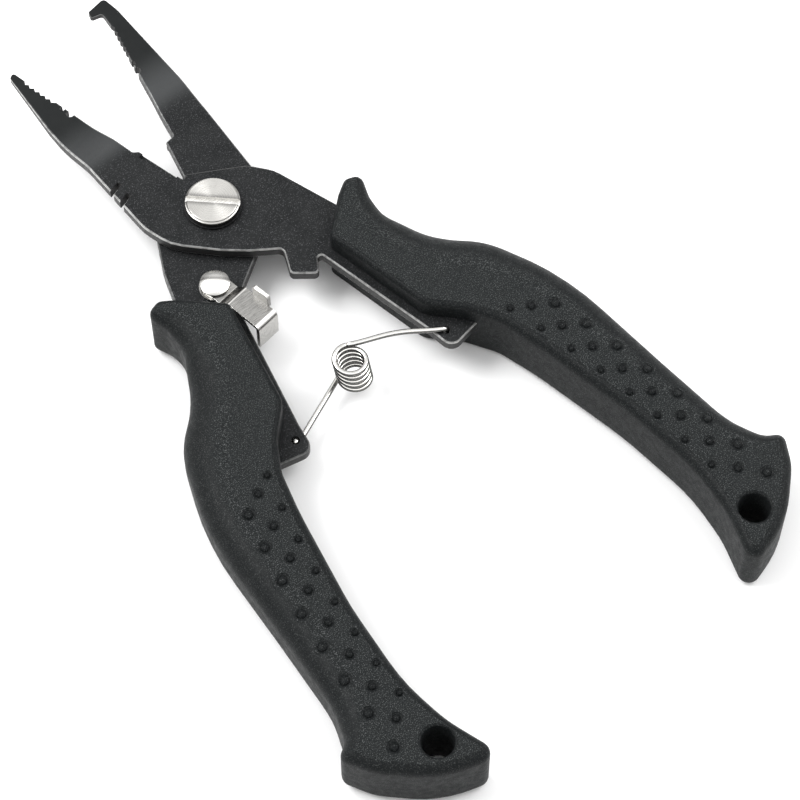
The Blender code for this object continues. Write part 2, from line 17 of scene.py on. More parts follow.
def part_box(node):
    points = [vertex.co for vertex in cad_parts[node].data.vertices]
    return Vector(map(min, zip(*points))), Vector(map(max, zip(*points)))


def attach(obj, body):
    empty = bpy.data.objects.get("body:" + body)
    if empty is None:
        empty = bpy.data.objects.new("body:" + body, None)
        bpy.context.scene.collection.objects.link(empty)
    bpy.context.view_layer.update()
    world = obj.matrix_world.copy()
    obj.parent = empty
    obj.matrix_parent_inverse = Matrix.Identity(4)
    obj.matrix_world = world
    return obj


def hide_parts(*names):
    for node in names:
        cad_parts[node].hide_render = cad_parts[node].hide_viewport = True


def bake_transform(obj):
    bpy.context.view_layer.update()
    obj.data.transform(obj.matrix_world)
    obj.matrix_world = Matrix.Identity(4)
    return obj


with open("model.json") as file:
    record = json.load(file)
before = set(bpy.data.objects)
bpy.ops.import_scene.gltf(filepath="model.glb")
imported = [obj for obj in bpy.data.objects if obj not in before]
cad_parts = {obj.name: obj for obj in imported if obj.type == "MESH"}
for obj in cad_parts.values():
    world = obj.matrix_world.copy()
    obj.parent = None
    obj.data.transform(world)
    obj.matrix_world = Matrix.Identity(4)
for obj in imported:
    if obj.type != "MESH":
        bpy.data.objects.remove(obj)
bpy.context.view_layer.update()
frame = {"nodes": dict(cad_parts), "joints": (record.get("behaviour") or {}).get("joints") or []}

MM = 0.001
JOINTS = {joint["name"]: Vector(joint["pos_m"]) / MM for joint in frame["joints"]}
PIVOT = JOINTS["handle_pivot"]


def span(node):
    """The lowest and highest z of a CAD node, in millimetres."""
    low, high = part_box(node)
    return low.z / MM, high.z / MM


# Grips
GRIP_BOTTOM, GRIP_TOP = span("front_grip")
# The reach of the grid of points that meshes its faces
GRID_INNER, GRID_OUTER = 10, 54
GRID_BACK, GRID_FRONT = -125, -9
# From the nose round the outer edge and tail, then up the inner edge. Each corner is x, y, its radius in plan,
# and how far in from the edge the rounding of the rim reaches
GRIP_OUTLINE = (
    (11.8, -21.6, 1.5, 1.3), (19.0, -14.9, 2.0, 1.4), (22.1, -12.8, 1.6, 1.5), (25.5, -13.8, 1.8, 1.8),
    (24.0, -18.2, 5, 3.0), (23.8, -23.1, 9, 6.0), (29.3, -33.2, 24, 9.0), (36.4, -39.2, 20, 9.0),
    (43.1, -56.3, 70, 7.6), (44.5, -79.5, 90, 6.8), (45.8, -97.1, 24, 6.0), (48.5, -104.2, 4, 4.4),
    (51.6, -106.2, 3.6, 2.8), (48.2, -112.1, 12, 2.2), (39.8, -120.1, 30, 2.2), (28.6, -123.3, 2.1, 2.0),
    (32.4, -112.1, 25, 2.0), (33.7, -101.6, 40, 2.3), (32.0, -84.7, 60, 2.3), (28.0, -65.0, 60, 2.2),
    (25.6, -56.0, 8, 1.8), (22.2, -50.2, 3, 1.3), (16.6, -44.4, 4, 1.2),
)
LANYARD_HOLE = (36.4, -114.8)
LANYARD_RADIUS = 2.9
LANYARD_CHAMFER = 0.6
RIM_ROUND = 2.2
RIM_FLATNESS = 0.5
DOTS_IN_ROW = 8
# Each row of dots: first x, its step and bend, first y, its step and bend, dome radius, groove width
DOT_ROWS = (
    (28.4, 1.93, -0.120, -55.4, -6.88, 0.0, 0.50, 0.42),
    (31.9, 1.85, -0.112, -57.4, -6.85, -0.033, 0.66, 0.50),
    (35.8, 1.75, -0.104, -59.7, -6.95, -0.052, 0.82, 0.58),
)
DOT_GROOVE = 0.36
DOT_RISE = 0.26

# Screw
SCREW_BOTTOM, SCREW_TOP = span("pivot_screw")
SCREW_HEAD_HEIGHT = 1.4
SCREW_HEAD_RADIUS = (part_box("pivot_screw")[1].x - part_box("pivot_screw")[0].x) / 2 / MM
SCREW_SHANK_RADIUS = 3.0
SCREW_THREAD_RADIUS = 2.5
SCREW_SLOT_WIDTH = 1.25
SCREW_SLOT_DEPTH = 0.7
SCREW_SLOT_ANGLE = -43.0

# Spring
WIRE_RADIUS = 0.53
COIL_RADIUS = 2.95
COIL_TURNS = 5
COIL_TOP_LEAN = (-0.4, 0.3)
COIL_BOTTOM_LEAN = (-0.2, -1.0)
UPPER_LEG_BOW = -0.8
ANCHOR = JOINTS["spring_swing"] - PIVOT
COIL_CENTRE = JOINTS["spring_wind"] - PIVOT
SPRING_TOP = span("return_spring")[1] - WIRE_RADIUS
SPRING_BOTTOM = span("return_spring_lower_leg")[0] + WIRE_RADIUS
HOOK_RADIUS = 0.9
TOP_HOOK_END = 7.3
BOTTOM_HOOK_END = 6.75

# Latch, along its own length from the rivet
RIVET = JOINTS["latch_pivot"] - PIVOT
LATCH_ANGLE = -80.7
LATCH_WIDTH = 5.0
LATCH_SHEET = 0.8
LATCH_LOW = 7.85
LATCH_HIGH = 10.2
LATCH_LIP, LATCH_TOP = span("latch_lever")
LATCH_REACH = 13.8
LATCH_STEP = (3.75, 6.0)
THUMB_TAB = (7.8, 11.9)
RIVET_HOLE_RADIUS = 1.42
RIVET_HEAD_RADIUS = 2.85
RIVET_HEAD_HEIGHT = 1.25
RIVET_DOME_HEIGHT = 0.8
RIVET_SHANK_RADIUS = 1.3
RIVET_TAIL_RADIUS = 2.2
RIVET_TAIL_HEIGHT = 0.9

# Directions along which painted highlight and shade are laid: TOWARDS_TAILS points towards the camera,
# AWAY_FROM_TAILS away from it
UP = (0.0, 0.0, 1.0)
AWAY_FROM_TAILS = (0.62, 0.785, 0.0)
TOWARDS_TAILS = (-0.62, -0.78, 0.0)
# Painted highlight and shade on the bright pieces: pairs of how far a surface leans along its direction, and
# the brightness painted there
RIVET_PAINTED_SHADING = (
    (-0.7, 0.06), (-0.5, 0.5), (-0.4, 0.95), (0.02, 0.95), (0.09, 0.32), (0.14, 0.36), (0.24, 0.9), (0.6, 0.95),
)
LATCH_PAINTED_SHADING = (
    (-0.75, 0.5), (-0.64, 0.46), (-0.58, 0.10), (-0.48, 0.95), (-0.12, 0.95), (-0.05, 0.24), (0.06, 0.24),
    (0.12, 0.85), (0.24, 0.9), (0.32, 0.10), (0.6, 0.10),
)
TAB_PAINTED_SHADING = ((-1.0, 0.10), (0.05, 0.16), (0.4, 0.5), (0.8, 0.95), (1.0, 0.95))
WIRE_PAINTED_SHADING = ((-0.9, 0.03), (0.42, 0.04), (0.62, 0.30), (0.76, 0.9), (0.92, 0.95), (1.0, 0.6))

# Camera: the line it looks along, from a point on the pliers
CAMERA_TARGET = (1.63, -56.08, 9.5)
CAMERA_AZIMUTH = 38.3
CAMERA_ELEVATION = 60.75
CAMERA_DISTANCE = 518.5
CAMERA_LENS = 126


# Shapes

def place(x, y, z):
    """A world point in metres from one in millimetres about the pivot."""
    return Vector(((x + PIVOT.x) * MM, (y + PIVOT.y) * MM, z * MM))


def rounded(corners, step=5):
    """Points round a closed outline through corners of (x, y, corner radius, value), as (x, y, value)."""
    points = []
    count = len(corners)
    for index, (x, y, radius, value) in enumerate(corners):
        corner = Vector((x, y))
        before = Vector(corners[index - 1][:2]) - corner
        after = Vector(corners[(index + 1) % count][:2]) - corner
        half = before.angle(after) / 2
        reach = min(radius / math.tan(half), 0.48 * before.length, 0.48 * after.length)
        fitted = reach * math.tan(half)
        bisector = (before.normalized() + after.normalized()).normalized()
        centre = corner + bisector * fitted / math.sin(half)
        first = corner + before.normalized() * reach - centre
        last = corner + after.normalized() * reach - centre
        turn = math.atan2(first.cross(last), first.dot(last))
        pieces = max(1, math.ceil(abs(math.degrees(turn)) / step))
        for k in range(pieces + 1):
            point = centre + Matrix.Rotation(turn * k / pieces, 2) @ first
            points.append((point.x, point.y, value))
    return np.array(points)


def resampled(points, spacing):
    """The closed line of points with evenly spaced ones, and its values smoothed along it."""
    closed = np.vstack([points, points[:1]])
    lengths = np.hypot(*np.diff(closed[:, :2], axis=0).T)
    along = np.concatenate([[0], np.cumsum(lengths)])
    count = round(along[-1] / spacing)
    at = np.arange(count) * along[-1] / count
    result = np.stack([np.interp(at, along, closed[:, k]) for k in range(3)], axis=1)
    window = 6
    result[:, 2] = sum(np.roll(result[:, 2], k) for k in range(-window, window + 1)) / (2 * window + 1)
    return result


def edge_distance(points, edge):
    """Each point's distance to the closed edge, and the edge's value nearest to it."""
    start = edge[:, :2]
    values = edge[:, 2]
    step = np.roll(start, -1, axis=0) - start
    change = np.roll(values, -1) - values
    square = (step ** 2).sum(axis=1)
    distance = np.empty(len(points))
    value = np.empty(len(points))
    for index, point in enumerate(points):
        offset = point - start
        share = np.clip((offset * step).sum(axis=1) / square, 0, 1)
        gap = np.hypot(*(offset - share[:, None] * step).T)
        nearest = gap.argmin()
        distance[index] = gap[nearest]
        value[index] = values[nearest] + share[nearest] * change[nearest]
    return distance, value


def inside(points, edge):
    """Which points are inside the closed edge."""
    result = np.zeros(len(points), bool)
    x, y = points.T
    for (ax, ay), (bx, by) in zip(edge[:, :2], np.roll(edge[:, :2], -1, axis=0)):
        crosses = (ay > y) != (by > y)
        if crosses.any():
            result ^= crosses & (x < (bx - ax) * (y - ay) / (by - ay) + ax)
    return result


def add_mesh(name, mesh, smooth_angle=40):
    """An object from a bmesh in world metres."""
    bmesh.ops.recalc_face_normals(mesh, faces=mesh.faces)
    data = bpy.data.meshes.new(name)
    mesh.to_mesh(data)
    mesh.free()
    data.shade_smooth()
    data.set_sharp_from_angle(angle=math.radians(smooth_angle))
    made = bpy.data.objects.new(name, data)
    bpy.context.scene.collection.objects.link(made)
    return made


def cut_out(target, cutter):
    """Cuts one object out of another for good, and removes the cutter."""
    step = target.modifiers.new("cut", "BOOLEAN")
    step.operation = "DIFFERENCE"
    step.object = cutter
    keep_modifiers(target)
    bpy.data.objects.remove(cutter)


def keep_modifiers(target):
    """Turns what an object's modifiers make into its own mesh."""
    graph = bpy.context.evaluated_depsgraph_get()
    graph.update()
    made = bpy.data.meshes.new_from_object(target.evaluated_get(graph))
    target.modifiers.clear()
    target.data = made


def bevel(target, width, segments=2, angle=35):
    step = target.modifiers.new("bevel", "BEVEL")
    step.width = width * MM
    step.segments = segments
    step.limit_method = "ANGLE"
    step.angle_limit = math.radians(angle)
    step.harden_normals = True


def dots():
    """(x, y, dome radius, groove width) of every dot on the front grip."""
    found = []
    for x, x_step, x_bend, y, y_step, y_bend, radius, groove in DOT_ROWS:
        for k in range(DOTS_IN_ROW):
            found.append((x + x_step * k + x_bend * k * k, y + y_step * k + y_bend * k * k, radius, groove))
    return found


def ring(x, y, radius, count):
    turns = np.arange(count) * math.tau / count
    return np.stack([x + radius * np.cos(turns), y + radius * np.sin(turns)], axis=1)


def grip_plan(edge):
    """The grip's plan as triangles: (points, triangles, the edge's points, the hole's points)."""
    step = np.roll(edge[:, :2], -1, axis=0) - np.roll(edge[:, :2], 1, axis=0)
    inward = np.stack([step[:, 1], -step[:, 0]], axis=1) / np.hypot(*step.T)[:, None]
    hole = ring(*LANYARD_HOLE, LANYARD_RADIUS + LANYARD_CHAMFER, 40)
    parts = [edge[:, :2], hole]
    rim_steps = 8
    for k in range(1, rim_steps + 1):
        inset = edge[:, 2] * (1 - math.cos(math.pi / 2 * k / rim_steps))
        points = edge[:, :2] + inward * inset[:, None]
        distance = edge_distance(points, edge)[0]
        points = points[distance > 0.96 * inset - 0.01]
        thinning = 1 if k < 6 else 2
        parts.append(points[::thinning])
    pitch = 1.1
    rows = np.arange(GRID_BACK, GRID_FRONT, pitch * math.sqrt(0.75))
    columns = np.arange(GRID_INNER, GRID_OUTER, pitch)
    grid = np.array([(x + pitch / 2 * (row % 2), y) for row, y in enumerate(rows) for x in columns])
    grid = grid[inside(grid, edge)]
    distance, rounding = edge_distance(grid, edge)
    parts.append(grid[distance > rounding + 0.35])
    circles = [(*LANYARD_HOLE, LANYARD_RADIUS + LANYARD_CHAMFER + 0.3)]
    free = np.vstack(parts[2:])
    own = []
    for x, y, radius, groove in dots():
        outer = radius + groove
        circles.append((x, y, outer + 0.12))
        own.append(np.array([(x, y)]))
        for share in (0.4, 0.72, 0.92):
            own.append(ring(x, y, radius * share, 16))
        for reach in (radius, radius + groove * 0.45, outer):
            own.append(ring(x, y, reach, 20))
    for x, y, reach in circles:
        free = free[np.hypot(free[:, 0] - x, free[:, 1] - y) > reach]
    points = np.vstack([*parts[:2], free, *own])
    count = len(edge)
    lines = [(k, (k + 1) % count) for k in range(count)]
    lines += [(count + k, count + (k + 1) % len(hole)) for k in range(len(hole))]
    result = delaunay_2d_cdt([Vector(p) for p in points], lines, [], 0, 1e-4)
    plan = np.array([tuple(v) for v in result[0]])
    triangles = np.array([tuple(face) for face in result[2]])
    middles = plan[triangles].mean(axis=1)
    kept = inside(middles, edge) & ~inside(middles, np.column_stack([hole, np.zeros(len(hole))]))
    new_index = {old: new for new, olds in enumerate(result[3]) for old in olds}
    edge_at = [new_index[k] for k in range(count)]
    hole_at = [new_index[count + k] for k in range(len(hole))]
    return plan, triangles[kept], edge_at, hole_at


def dot_height(points, rise):
    """How far each point of a face stands out of it because of a dot."""
    height = np.zeros(len(points))
    for x, y, radius, groove in dots():
        reach = np.hypot(points[:, 0] - x, points[:, 1] - y)
        dome = -DOT_GROOVE + (DOT_GROOVE + rise) * np.sqrt(np.clip(1 - (reach / radius) ** 2, 0, 1))
        wall = -DOT_GROOVE * np.clip(1 - (reach - radius) / groove, 0, 1) ** 1.5
        height = np.where(reach < radius, dome, np.where(reach < radius + groove, wall, height))
    return height


def grip_shape():
    """The front grip's vertices in millimetres about the pivot, and its faces."""
    edge = resampled(rounded(GRIP_OUTLINE), 0.5)
    plan, triangles, edge_at, hole_at = grip_plan(edge)
    distance, reach = edge_distance(plan, edge)
    distance[edge_at] = 0
    short = np.clip(1 - distance / reach, 0, None)
    rim = np.minimum(reach, RIM_ROUND + (reach - RIM_ROUND) * RIM_FLATNESS)
    drop = rim * (1 - np.sqrt(np.clip(1 - short ** 2, 0, None)))
    top = GRIP_TOP - drop + dot_height(plan, DOT_RISE)
    bottom = GRIP_BOTTOM + drop - dot_height(plan, 0.0)
    count = len(plan)
    verts = [np.column_stack([plan, top]), np.column_stack([plan, bottom])]
    faces = [tuple(t) for t in triangles] + [tuple(t[::-1] + count) for t in triangles]
    total = 2 * count

    def wall(above, below, levels):
        """Joins two loops of vertices through levels given as whole rings between them."""
        nonlocal total
        loops = [above]
        for level in levels:
            verts.append(level)
            loops.append(list(range(total, total + len(level))))
            total += len(level)
        loops.append(below)
        for upper, lower in zip(loops, loops[1:]):
            for k in range(len(upper)):
                after = (k + 1) % len(upper)
                faces.append((upper[k], upper[after], lower[after], lower[k]))

    sides = []
    wall_steps = 5
    for k in range(1, wall_steps):
        share = k / wall_steps
        height = top[edge_at] * (1 - share) + bottom[edge_at] * share
        sides.append(np.column_stack([plan[edge_at], height]))
    wall(edge_at, [k + count for k in edge_at], sides)
    chamfer = [(LANYARD_RADIUS + LANYARD_CHAMFER * (1 - math.sin(t)), LANYARD_CHAMFER * (1 - math.cos(t)))
               for t in (0.5, 1.0, math.pi / 2)]
    depths = [(radius, GRIP_TOP - depth) for radius, depth in chamfer]
    depths += [(LANYARD_RADIUS, (GRIP_TOP + GRIP_BOTTOM) / 2)]
    depths += [(radius, GRIP_BOTTOM + depth) for radius, depth in reversed(chamfer)]
    bore = []
    for radius, height in depths:
        circle = ring(*LANYARD_HOLE, radius, len(hole_at))
        bore.append(np.column_stack([circle, np.full(len(circle), height)]))
    wall(hole_at, [k + count for k in hole_at], bore)
    return np.vstack(verts), faces


def grips(finish):
    """Both grips, made from one shape and its mirror image."""
    verts, faces = grip_shape()
    for node, body, side in (("front_grip", "front_lever", 1), ("back_grip", "back_lever", -1)):
        mesh = bmesh.new()
        for x, y, z in verts:
            mesh.verts.new(place(x * side, y, z))
        mesh.verts.ensure_lookup_table()
        for face in faces:
            mesh.faces.new([mesh.verts[k] for k in face])
        made = add_mesh(f"{node}_moulding", mesh, 50)
        made.data.materials.append(finish)
        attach(made, body)
        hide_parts(node)


def turned(profile, steps=96, centre=(0, 0)):
    """A bmesh in world metres of a closed profile of (radius, height) turned about a centre."""
    mesh = bmesh.new()
    rings = []
    for radius, height in profile:
        if radius < 1e-6:
            rings.append([mesh.verts.new(place(*centre, height))])
        else:
            rings.append([mesh.verts.new(place(x, y, height)) for x, y in ring(*centre, radius, steps)])
    for near, far in zip(rings, rings[1:]):
        for k in range(steps):
            after = (k + 1) % steps
            corners = (near[k % len(near)], near[after % len(near)], far[after % len(far)], far[k % len(far)])
            face = list(dict.fromkeys(corners))
            if len(face) > 2:
                mesh.faces.new(face)
    return mesh


def block(corners, low, high):
    """A bmesh in world metres of a plan outline in millimetres about the pivot, between two heights."""
    mesh = bmesh.new()
    lower = [mesh.verts.new(place(x, y, low)) for x, y in corners]
    upper = [mesh.verts.new(place(x, y, high)) for x, y in corners]
    mesh.faces.new(lower)
    mesh.faces.new(upper)
    for k in range(len(corners)):
        after = (k + 1) % len(corners)
        mesh.faces.new((lower[k], lower[after], upper[after], upper[k]))
    return mesh


def screw(finish, slot_highlight_finish, side_shade_finish):
    """The pivot screw: a flat turned head with a stepped rim and a driver slot, its shank and thread."""
    under = SCREW_TOP - SCREW_HEAD_HEIGHT
    edge = SCREW_HEAD_RADIUS
    profile = (
        (0, SCREW_BOTTOM), (SCREW_THREAD_RADIUS - 0.3, SCREW_BOTTOM),
        (SCREW_THREAD_RADIUS, SCREW_BOTTOM + 0.3), (SCREW_THREAD_RADIUS, SCREW_BOTTOM + 2.1),
        (SCREW_SHANK_RADIUS, SCREW_BOTTOM + 2.4),
        (SCREW_SHANK_RADIUS, under), (edge - 0.15, under), (edge, under + 0.15), (edge, SCREW_TOP - 0.5),
        (edge - 0.08, SCREW_TOP - 0.38), (edge - 0.3, SCREW_TOP - 0.28), (edge - 0.36, SCREW_TOP - 0.22),
        (edge - 0.42, SCREW_TOP - 0.06), (edge - 0.52, SCREW_TOP), (edge - 1.6, SCREW_TOP), (0, SCREW_TOP),
    )
    made = add_mesh("pivot_screw_turned", turned(profile), 50)
    turn = Matrix.Rotation(math.radians(SCREW_SLOT_ANGLE), 2)
    half = SCREW_SLOT_WIDTH / 2
    long = edge + 1
    corners = [turn @ Vector(c) for c in ((-long, -half), (long, -half), (long, half), (-long, half))]
    cut_out(made, add_mesh("slot_cutter", block(corners, SCREW_TOP - SCREW_SLOT_DEPTH, SCREW_TOP + 1)))
    made.data.set_sharp_from_angle(angle=math.radians(30))
    made.data.materials.clear()
    for used in (finish, slot_highlight_finish, side_shade_finish):
        made.data.materials.append(used)
    floor_height = SCREW_TOP - SCREW_SLOT_DEPTH
    for face in made.data.polygons:
        height = face.center.z / MM
        # The slot's floor and walls get a brighter copy of the steel, a painted highlight; the head's outer
        # side a dark copy, painted shade
        if abs(face.normal.z) > 0.9 and abs(height - floor_height) < 0.05:
            face.material_index = 1
        elif abs(face.normal.z) < 0.3 and (face.center.xy / MM - PIVOT.xy).length > SCREW_SHANK_RADIUS + 1:
            face.material_index = 2
        elif abs(face.normal.z) < 0.3:
            face.material_index = 1
    bevel(made, 0.06, 2, 50)
    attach(made, "front_lever")
    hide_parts("pivot_screw")


def rivet(finish):
    """The latch's rivet: a domed head over the latch's sheet, its shank, and a flat tail under the lever."""
    low, high = span("latch_rivet")
    tail_top = low + RIVET_TAIL_HEIGHT
    head = high - RIVET_HEAD_HEIGHT
    shoulder = high - RIVET_DOME_HEIGHT
    edge = RIVET_HEAD_RADIUS
    ball = (edge ** 2 + RIVET_DOME_HEIGHT ** 2) / (2 * RIVET_DOME_HEIGHT)
    turns = np.linspace(math.asin(edge / ball), 0, 14)
    dome = [(ball * math.sin(turn), high - ball * (1 - math.cos(turn))) for turn in turns]
    profile = (
        (0, low), (RIVET_TAIL_RADIUS - 0.4, low), (RIVET_TAIL_RADIUS, low + 0.4),
        (RIVET_TAIL_RADIUS, tail_top), (RIVET_SHANK_RADIUS, tail_top), (RIVET_SHANK_RADIUS, head),
        (edge - 0.15, head), (edge, head + 0.15), (edge, shoulder), *dome[1:],
    )
    made = add_mesh("latch_rivet_domed", turned(profile, 64, RIVET.xy), 50)
    made.data.materials.append(finish)
    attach(made, "back_lever")
    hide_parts("latch_rivet")


def tube(name, path, radius, sides=16):
    """A round wire along a path of points in millimetres about the pivot, with rounded ends."""
    points = [place(*p) for p in path]
    mesh = bmesh.new()
    tangents = [(b - a).normalized() for a, b in zip([points[0], *points[:-1]], [*points[1:], points[-1]])]
    tangents[0] = (points[1] - points[0]).normalized()
    tangents[-1] = (points[-1] - points[-2]).normalized()
    across = tangents[0].orthogonal().normalized()
    rings = []

    def add_ring(centre, tangent, size):
        up = tangent.cross(across)
        rings.append([
            mesh.verts.new(centre + (across * math.cos(turn) + up * math.sin(turn)) * size)
            for turn in (math.tau * k / sides for k in range(sides))
        ])

    size = radius * MM
    nose = 0.35 * size
    end_size = 0.75 * size
    add_ring(points[0], tangents[0], end_size)
    add_ring(points[0] + tangents[0] * nose, tangents[0], size)
    for point, tangent in zip(points[1:-1], tangents[1:-1]):
        across = (across - tangent * across.dot(tangent)).normalized()
        add_ring(point, tangent, size)
    across = (across - tangents[-1] * across.dot(tangents[-1])).normalized()
    add_ring(points[-1] - tangents[-1] * nose, tangents[-1], size)
    add_ring(points[-1], tangents[-1], end_size)
    mesh.faces.new(rings[0])
    mesh.faces.new(rings[-1])
    for near, far in zip(rings, rings[1:]):
        for k in range(sides):
            after = (k + 1) % sides
            mesh.faces.new((near[k], near[after], far[after], far[k]))
    return add_mesh(name, mesh, 60)


def coil_point(share):
    """A point on the coil's wire, from its top at share 0 to its bottom at 1."""
    offset = ANCHOR - COIL_CENTRE
    start = math.atan2(offset.y, offset.x) + math.acos(COIL_RADIUS / math.hypot(offset.x, offset.y))
    end = math.pi - start + math.tau * COIL_TURNS
    turn = start + (end - start) * share
    height = SPRING_TOP + (SPRING_BOTTOM - SPRING_TOP) * share
    lean = Vector(COIL_TOP_LEAN).lerp(Vector(COIL_BOTTOM_LEAN), share)
    x = COIL_CENTRE.x + lean.x + COIL_RADIUS * math.cos(turn)
    return (x, COIL_CENTRE.y + lean.y + COIL_RADIUS * math.sin(turn), height)


def leg_path(anchor, meeting, height, bend, end_height, bow):
    """A spring leg from its end in a lug's hole, round its hook and along, with a slight bow, to the coil."""
    start = Vector((*anchor, height))
    along = Vector((meeting[0], meeting[1], height)) - start
    direction = along.normalized()
    side = Vector((-direction.y, direction.x, 0))
    points = [(*anchor, end_height), (*anchor, (end_height + height + HOOK_RADIUS * bend) / 2)]
    hook_steps = 8
    for k in range(hook_steps + 1):
        turn = math.pi / 2 * k / hook_steps
        drop = Vector((0, 0, HOOK_RADIUS * (1 - math.sin(turn)) * bend))
        points.append(tuple(start + direction * HOOK_RADIUS * (1 - math.cos(turn)) + drop))
    leg_steps = 14
    first = HOOK_RADIUS / along.length
    for k in range(1, leg_steps + 1):
        share = first + (1 - first) * k / leg_steps
        rise = bow * math.sin(math.pi * share) ** 2
        points.append(tuple(start + along * share + side * rise))
    return points


def return_spring(finish):
    """The torsion spring: a leg to each lever and a coil between them; the coil is drawn fixed, though the real
    one winds up as the levers close.
    """
    steps = 36 * COIL_TURNS
    coil = [coil_point(k / steps) for k in range(steps + 1)]
    path = leg_path(ANCHOR.xy, coil[0], SPRING_TOP, -1, TOP_HOOK_END, UPPER_LEG_BOW)
    upper = tube("spring_upper_leg", path, WIRE_RADIUS)
    lower_anchor = (-ANCHOR.x, ANCHOR.y)
    path = leg_path(lower_anchor, coil[-1], SPRING_BOTTOM, 1, BOTTOM_HOOK_END, 0.0)
    lower = tube("spring_lower_leg", path, WIRE_RADIUS)
    middle = tube("spring_coil", coil, WIRE_RADIUS)
    for piece in (upper, lower, middle):
        piece.data.materials.append(finish)
    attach(upper, "spring")
    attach(lower, "spring_lower_leg")
    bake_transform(middle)
    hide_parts("return_spring")
    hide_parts("return_spring_lower_leg")


def open_path(corners, step=9):
    """An open line through corners of (x, y, radius), with arcs at its corners."""
    points = [Vector(corners[0][:2])]
    for before, (x, y, radius), after in zip(corners, corners[1:], corners[2:]):
        corner = Vector((x, y))
        back = (Vector(before[:2]) - corner).normalized()
        on = (Vector(after[:2]) - corner).normalized()
        half = back.angle(on) / 2
        reach = radius / math.tan(half)
        centre = corner + (back + on).normalized() * radius / math.sin(half)
        first = corner + back * reach - centre
        last = corner + on * reach - centre
        turn = math.atan2(first.cross(last), first.dot(last))
        pieces = max(1, math.ceil(abs(math.degrees(turn)) / step))
        points.extend(centre + Matrix.Rotation(turn * k / pieces, 2) @ first for k in range(pieces + 1))
    points.append(Vector(corners[-1][:2]))
    return points


def sheet_strip(path, widths, sheet, to_world):
    """A bmesh of bent sheet: a line in its side view, its half width at each point, and its thickness."""
    mesh = bmesh.new()
    rings = []
    for index, (point, half) in enumerate(zip(path, widths)):
        along = path[min(index + 1, len(path) - 1)] - path[max(index - 1, 0)]
        up = Vector((-along.y, along.x)).normalized() * sheet / 2
        over = point + up
        under = point - up
        sides = ((over, half), (under, half), (under, -half), (over, -half))
        rings.append([mesh.verts.new(to_world(at.x, side, at.y)) for at, side in sides])
    mesh.faces.new(rings[0])
    mesh.faces.new(rings[-1])
    for near, far in zip(rings, rings[1:]):
        for k in range(4):
            mesh.faces.new((near[k], near[(k + 1) % 4], far[(k + 1) % 4], far[k]))
    return mesh


def latch(finish, tab_finish):
    """The latch: a sheet strip round its rivet, up a step, along a bridge and down a lip, and its tab."""
    turn = Matrix.Rotation(math.radians(LATCH_ANGLE), 2)

    def to_world(along, side, height):
        at = RIVET.xy + turn @ Vector((along, side))
        return place(at.x, at.y, height)

    half = LATCH_WIDTH / 2
    start = [Vector((-half + half * (1 - math.cos(k * math.pi / 20)), LATCH_LOW)) for k in range(10)]
    corners = (
        (0, LATCH_LOW, 0), (LATCH_STEP[0], LATCH_LOW, 0.8), (LATCH_STEP[1], LATCH_HIGH, 0.8),
        (LATCH_REACH, LATCH_HIGH, 0.85), (LATCH_REACH, LATCH_LIP, 0),
    )
    path = start + open_path(corners)
    widths = [math.sqrt(max(half ** 2 - point.x ** 2, 0.01)) if point.x < 0 else half for point in path]
    strip = add_mesh("latch_sheet", sheet_strip(path, widths, LATCH_SHEET, to_world), 30)
    hole = [RIVET.xy + Vector(p) for p in ring(0, 0, RIVET_HOLE_RADIUS, 32)]
    cut_out(strip, add_mesh("hole_cutter", block(hole, LATCH_LOW - 2, LATCH_LOW + 2)))
    middle = (THUMB_TAB[0] + THUMB_TAB[1]) / 2
    wide = (THUMB_TAB[1] - THUMB_TAB[0]) / 2
    corner = 0.5
    levels = (LATCH_HIGH - 0.2, LATCH_TOP - corner, LATCH_TOP - corner / 2, LATCH_TOP)
    tab_path = [Vector((half + 0.25, level)) for level in levels]
    tab_widths = [wide, wide, wide - corner * 0.3, wide - corner]

    def to_tab(side, along, height):
        return to_world(middle + along, side, height)

    ear = add_mesh("latch_thumb_tab", sheet_strip(tab_path, tab_widths, LATCH_SHEET, to_tab), 30)
    ear.data.materials.append(tab_finish)
    strip.data.materials.clear()
    strip.data.materials.append(finish)
    for piece in (strip, ear):
        bevel(piece, 0.13, 3, 50)
    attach(strip, "latch")
    ear.parent = strip
    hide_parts("latch_lever")


# Materials

